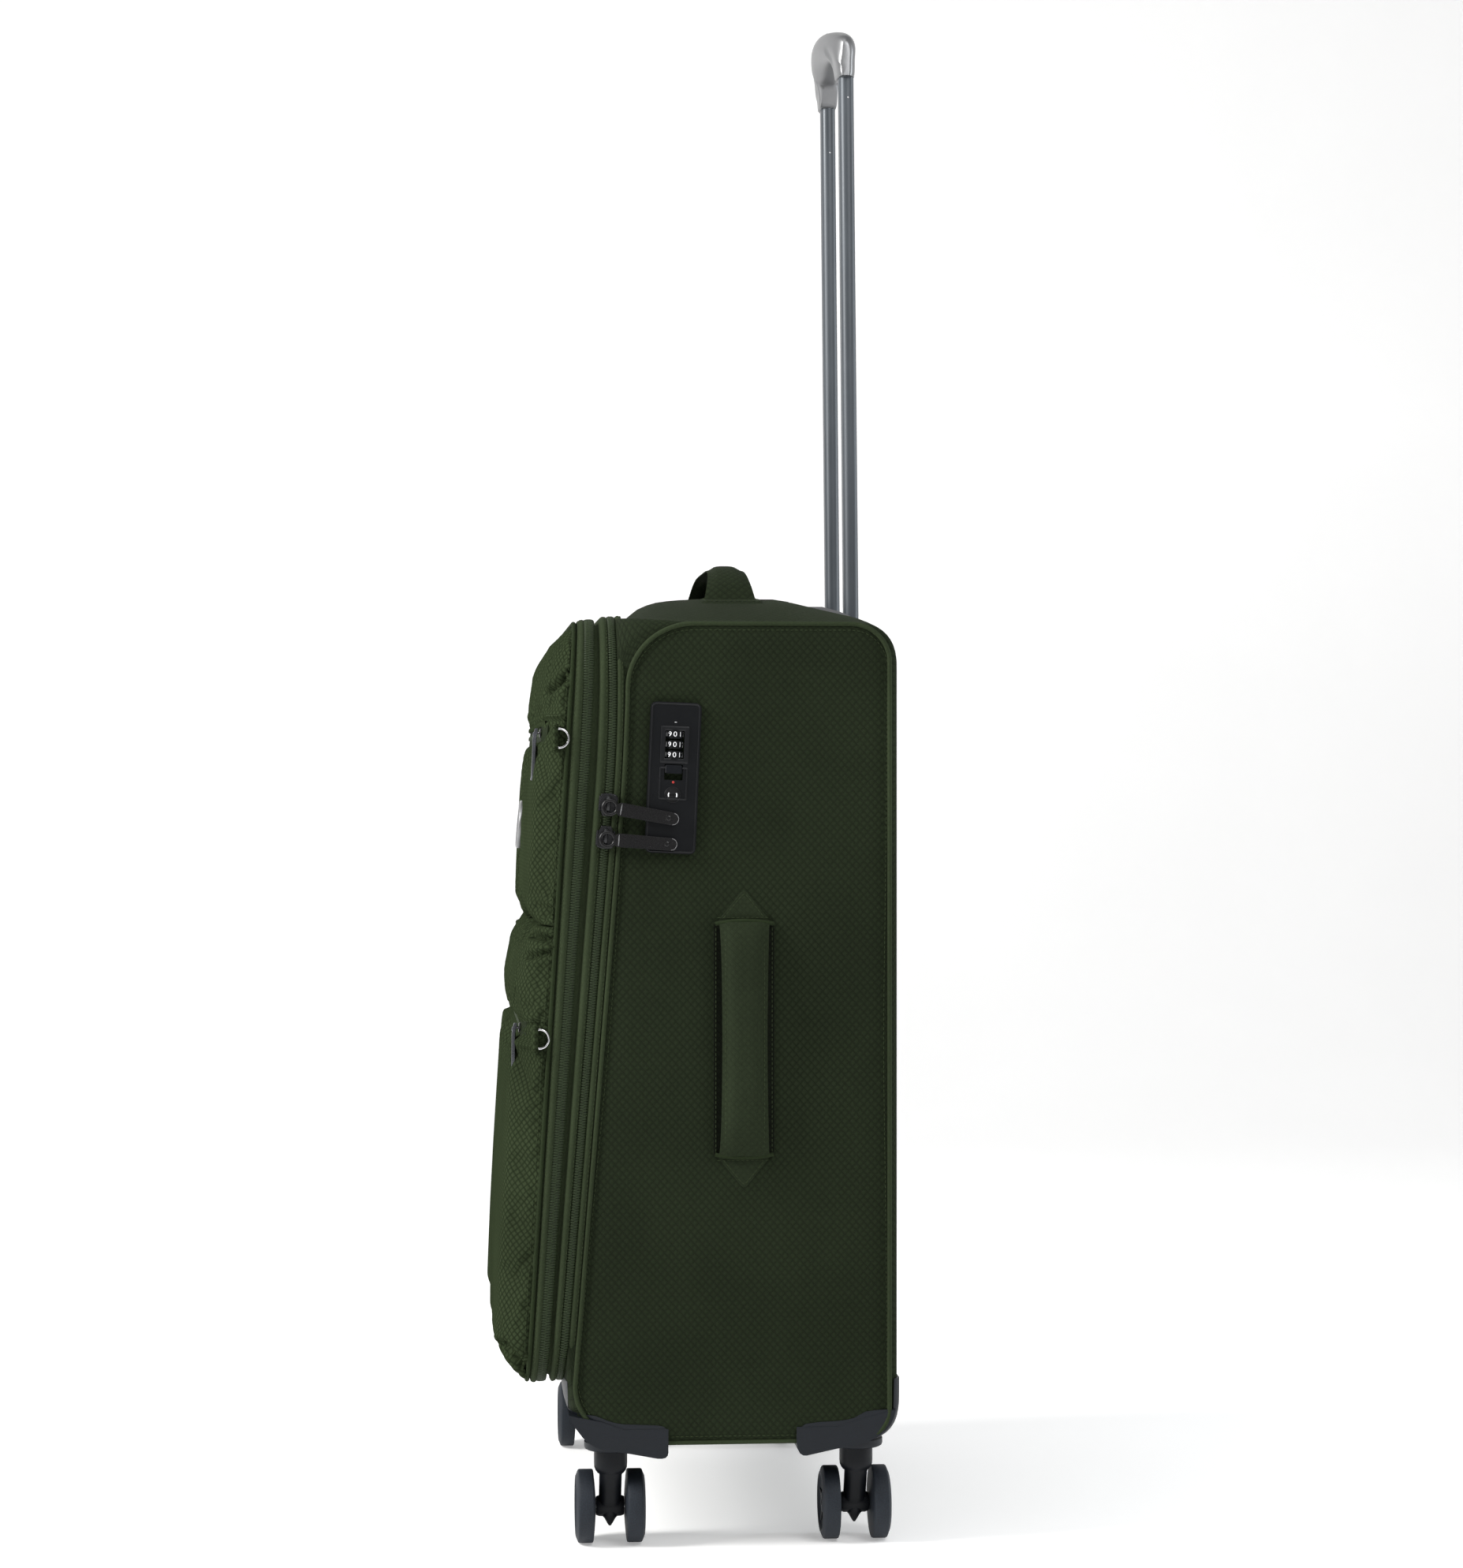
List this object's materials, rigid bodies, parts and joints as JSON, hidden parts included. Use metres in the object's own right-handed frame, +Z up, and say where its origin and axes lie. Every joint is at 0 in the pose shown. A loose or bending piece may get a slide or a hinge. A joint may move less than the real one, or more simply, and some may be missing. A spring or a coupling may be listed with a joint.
{
  "type": "spinner suitcase",
  "caption": "Upright soft-sided travel case with zipped lid, front pockets, telescopic pull handle, grab handles, side lock and twin-wheel swivel casters.",
  "frame": {"origin": "on the floor under the middle of the overall box, with the pull handle extended", "axes": "+Z up; -Y is the pocketed front, +Y the back panel; +X is the side with the lock and side handle"},
  "size_m": [0.4466, 0.2854, 1.1176],
  "materials": {
    "ripstop": "woven diamond ripstop, olive green",
    "plain_fabric": "plain woven olive green",
    "webbing": "padded woven strap, dark olive",
    "lining": "matte woven lining, charcoal",
    "zip_coil": "nylon coil, olive green",
    "moulded_plastic": "fine-grained moulded plastic, blue-black",
    "black_plastic": "satin black plastic",
    "tyre": "matte dark grey",
    "silver_plastic": "satin silver paint",
    "aluminium": "satin anodised",
    "gunmetal": "dark nickel plated",
    "steel": "polished wire"
  },
  "bodies": {
    "case": {"case_shell": "ripstop", "back_lining": "lining", "packing_strap_left": "webbing", "packing_strap_right": "webbing", "strap_buckle": "black_plastic", "corner_guard_front_left": "moulded_plastic", "corner_guard_front_right": "moulded_plastic", "corner_guard_rear_left": "moulded_plastic", "corner_guard_rear_right": "moulded_plastic", "outer_tube_left": "aluminium", "outer_tube_right": "aluminium", "tube_foot_bracket": "black_plastic", "trolley_bezel": "silver_plastic", "top_handle": "webbing", "side_handle": "webbing", "lock_plate": "black_plastic", "zip_chain_case": "zip_coil"},
    "lid": {"lid_shell": "plain_fabric", "zip_chain_lid": "zip_coil", "expander_zip": "zip_coil", "upper_pocket": "ripstop", "lower_pocket": "ripstop", "badge_plate": "silver_plastic"},
    "trolley": {"inner_tube_left": "aluminium", "inner_tube_right": "aluminium", "grip": "silver_plastic"},
    "grip_button": {"grip_button": "silver_plastic"},
    "caster_front_right": {"caster_front_right_fork": "black_plastic", "caster_front_right_axle": "steel"},
    "caster_front_right_wheel_front": {"caster_front_right_wheel_front": "tyre"},
    "caster_front_right_wheel_rear": {"caster_front_right_wheel_rear": "tyre"},
    "caster_rear_right": {"caster_rear_right_fork": "black_plastic", "caster_rear_right_axle": "steel"},
    "caster_rear_right_wheel_front": {"caster_rear_right_wheel_front": "tyre"},
    "caster_rear_right_wheel_rear": {"caster_rear_right_wheel_rear": "tyre"},
    "caster_front_left": {"caster_front_left_fork": "black_plastic", "caster_front_left_axle": "steel"},
    "caster_front_left_wheel_front": {"caster_front_left_wheel_front": "tyre"},
    "caster_front_left_wheel_rear": {"caster_front_left_wheel_rear": "tyre"},
    "caster_rear_left": {"caster_rear_left_fork": "black_plastic", "caster_rear_left_axle": "steel"},
    "caster_rear_left_wheel_front": {"caster_rear_left_wheel_front": "tyre"},
    "caster_rear_left_wheel_rear": {"caster_rear_left_wheel_rear": "tyre"},
    "main_slider_upper": {"main_slider_upper": "gunmetal"},
    "main_pull_upper": {"main_pull_upper": "gunmetal"},
    "main_slider_lower": {"main_slider_lower": "gunmetal"},
    "main_pull_lower": {"main_pull_lower": "gunmetal"},
    "lock_dial_1": {"lock_dial_1": "black_plastic"},
    "lock_dial_2": {"lock_dial_2": "black_plastic"},
    "lock_dial_3": {"lock_dial_3": "black_plastic"},
    "lock_button": {"lock_button": "black_plastic"},
    "key_cylinder": {"key_cylinder": "steel"},
    "upper_pocket_slider": {"upper_pocket_slider": "gunmetal"},
    "upper_pocket_pull": {"upper_pocket_pull": "gunmetal"},
    "lower_pocket_slider": {"lower_pocket_slider": "gunmetal"},
    "lower_pocket_pull": {"lower_pocket_pull": "gunmetal"},
    "upper_d_ring": {"upper_d_ring": "steel"},
    "lower_d_ring": {"lower_d_ring": "steel"}
  },
  "joints": [
    {"name": "lid_hinge", "type": "hinge", "parent": "case", "child": "lid", "pos_m": [-0.2105, -0.09128, 0.19], "axis": [0, -0.0807, -0.9967], "range_deg": [0, 170]},
    {"name": "trolley_slide", "type": "slide", "parent": "case", "child": "trolley", "axis": [0, -0.0094, 1], "range_m": [-0.42, 0]},
    {"name": "grip_button_press", "type": "slide", "parent": "trolley", "child": "grip_button", "axis": [0, 0.0094, -1], "range_m": [0, 0.0035], "stiffness_N_per_m": 400},
    {"name": "caster_front_right_swivel", "type": "hinge", "parent": "case", "child": "caster_front_right", "pos_m": [0.186, -0.061, 0.069], "axis": [0, 0, 1], "continuous": true},
    {"name": "caster_front_right_wheel_front_spin", "type": "hinge", "parent": "caster_front_right", "child": "caster_front_right_wheel_front", "pos_m": [0.175, -0.0786, 0.02608], "axis": [0, 1, 0], "continuous": true},
    {"name": "caster_front_right_wheel_rear_spin", "type": "hinge", "parent": "caster_front_right", "child": "caster_front_right_wheel_rear", "pos_m": [0.175, -0.0434, 0.02608], "axis": [0, 1, 0], "continuous": true},
    {"name": "caster_rear_right_swivel", "type": "hinge", "parent": "case", "child": "caster_rear_right", "pos_m": [0.186, 0.115, 0.069], "axis": [0, 0, 1], "continuous": true},
    {"name": "caster_rear_right_wheel_front_spin", "type": "hinge", "parent": "caster_rear_right", "child": "caster_rear_right_wheel_front", "pos_m": [0.175, 0.0974, 0.02608], "axis": [0, 1, 0], "continuous": true},
    {"name": "caster_rear_right_wheel_rear_spin", "type": "hinge", "parent": "caster_rear_right", "child": "caster_rear_right_wheel_rear", "pos_m": [0.175, 0.1326, 0.02608], "axis": [0, 1, 0], "continuous": true},
    {"name": "caster_front_left_swivel", "type": "hinge", "parent": "case", "child": "caster_front_left", "pos_m": [-0.186, -0.061, 0.069], "axis": [0, 0, 1], "continuous": true},
    {"name": "caster_front_left_wheel_front_spin", "type": "hinge", "parent": "caster_front_left", "child": "caster_front_left_wheel_front", "pos_m": [-0.197, -0.0786, 0.02608], "axis": [0, 1, 0], "continuous": true},
    {"name": "caster_front_left_wheel_rear_spin", "type": "hinge", "parent": "caster_front_left", "child": "caster_front_left_wheel_rear", "pos_m": [-0.197, -0.0434, 0.02608], "axis": [0, 1, 0], "continuous": true},
    {"name": "caster_rear_left_swivel", "type": "hinge", "parent": "case", "child": "caster_rear_left", "pos_m": [-0.186, 0.115, 0.069], "axis": [0, 0, 1], "continuous": true},
    {"name": "caster_rear_left_wheel_front_spin", "type": "hinge", "parent": "caster_rear_left", "child": "caster_rear_left_wheel_front", "pos_m": [-0.197, 0.0974, 0.02608], "axis": [0, 1, 0], "continuous": true},
    {"name": "caster_rear_left_wheel_rear_spin", "type": "hinge", "parent": "caster_rear_left", "child": "caster_rear_left_wheel_rear", "pos_m": [-0.197, 0.1326, 0.02608], "axis": [0, 1, 0], "continuous": true},
    {"name": "main_slider_upper_slide", "type": "slide", "parent": "case", "child": "main_slider_upper", "axis": [0, 0.0807, 0.9967], "range_m": [0, 0.055]},
    {"name": "main_pull_upper_hinge", "type": "hinge", "parent": "main_slider_upper", "child": "main_pull_upper", "pos_m": [0.2168, -0.0674, 0.527], "axis": [0, -0.1805, -0.9836], "range_deg": [0, 150]},
    {"name": "main_slider_lower_slide", "type": "slide", "parent": "case", "child": "main_slider_lower", "axis": [0, 0.0807, 0.9967], "range_m": [-0.34, 0]},
    {"name": "main_pull_lower_hinge", "type": "hinge", "parent": "main_slider_lower", "child": "main_pull_lower", "pos_m": [0.2168, -0.06926, 0.504], "axis": [0, -0.0785, -0.9969], "range_deg": [0, 150]},
    {"name": "lock_dial_1_turn", "type": "hinge", "parent": "case", "child": "lock_dial_1", "pos_m": [0.2087, -0.01666, 0.57777], "axis": [0, 0.0436, 0.999], "continuous": true},
    {"name": "lock_dial_2_turn", "type": "hinge", "parent": "case", "child": "lock_dial_2", "pos_m": [0.2087, -0.01698, 0.57048], "axis": [0, 0.0436, 0.999], "continuous": true},
    {"name": "lock_dial_3_turn", "type": "hinge", "parent": "case", "child": "lock_dial_3", "pos_m": [0.2087, -0.01729, 0.56319], "axis": [0, 0.0436, 0.999], "continuous": true},
    {"name": "lock_button_slide", "type": "slide", "parent": "case", "child": "lock_button", "axis": [0, -0.0436, -0.999], "range_m": [0, 0.004], "stiffness_N_per_m": 300},
    {"name": "key_cylinder_turn", "type": "hinge", "parent": "case", "child": "key_cylinder", "pos_m": [0.2103, -0.01852, 0.53501], "axis": [1, 0, 0], "range_deg": [0, 90]},
    {"name": "upper_pocket_slider_slide", "type": "slide", "parent": "lid", "child": "upper_pocket_slider", "axis": [-1, 0, 0], "range_m": [0, 0.32]},
    {"name": "upper_pocket_pull_hinge", "type": "hinge", "parent": "upper_pocket_slider", "child": "upper_pocket_pull", "pos_m": [0.168, -0.11345, 0.58137], "axis": [-1, 0, 0], "range_deg": [0, 160]},
    {"name": "lower_pocket_slider_slide", "type": "slide", "parent": "lid", "child": "lower_pocket_slider", "axis": [-1, 0, 0], "range_m": [0, 0.32]},
    {"name": "lower_pocket_pull_hinge", "type": "hinge", "parent": "lower_pocket_slider", "child": "lower_pocket_pull", "pos_m": [0.168, -0.1285, 0.37028], "axis": [-1, 0, 0], "range_deg": [0, 160]},
    {"name": "upper_d_ring_hinge", "type": "hinge", "parent": "lid", "child": "upper_d_ring", "pos_m": [0.207, -0.1, 0.575], "axis": [0, 0, -1], "range_deg": [0, 170]},
    {"name": "lower_d_ring_hinge", "type": "hinge", "parent": "lid", "child": "lower_d_ring", "pos_m": [0.207, -0.114, 0.3625], "axis": [0, 0, -1], "range_deg": [0, 170]}
  ]
}
